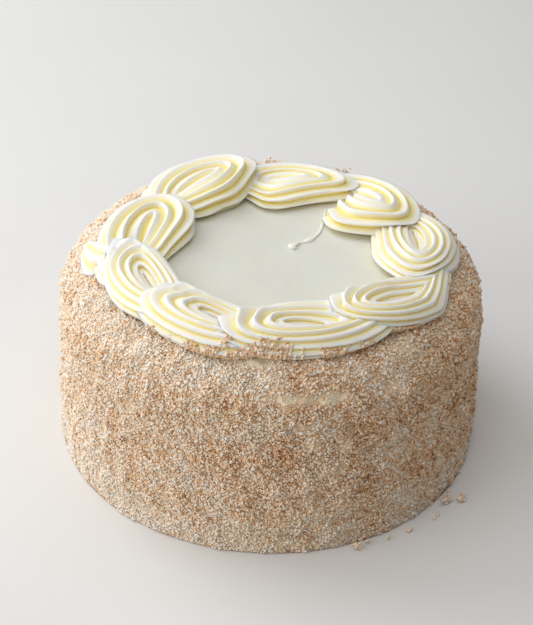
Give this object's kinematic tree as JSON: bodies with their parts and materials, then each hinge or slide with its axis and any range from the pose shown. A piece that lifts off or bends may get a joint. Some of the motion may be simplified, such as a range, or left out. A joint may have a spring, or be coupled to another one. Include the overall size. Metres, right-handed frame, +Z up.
{
  "type": "whole vanilla cake",
  "caption": "Tall round vanilla cake with a crumb coat, a smooth iced top and a ring of fluted piped icing scrolls.",
  "frame": {"origin": "middle of the flat base the cake rests on", "axes": "+Z up through the middle of the cake, -Y towards the viewer, +X to the viewer's right"},
  "size_m": [0.214, 0.214, 0.1171],
  "materials": {
    "crumb_coat": "dry toasted cake crumbs pressed into icing, white to golden brown",
    "icing_smooth": "smooth spread cream icing, soft and slightly satin",
    "icing_piped": "piped cream icing, satin, yellow in its valleys"
  },
  "bodies": {
    "root": {"cake_body": "crumb_coat", "icing_top": "icing_smooth", "icing_scroll_1": "icing_piped", "icing_scroll_2": "icing_piped", "icing_scroll_3": "icing_piped", "icing_scroll_4": "icing_piped", "icing_scroll_5": "icing_piped", "icing_scroll_6": "icing_piped", "icing_scroll_7": "icing_piped", "icing_scroll_8": "icing_piped", "icing_scroll_9": "icing_piped"}
  },
  "joints": []
}
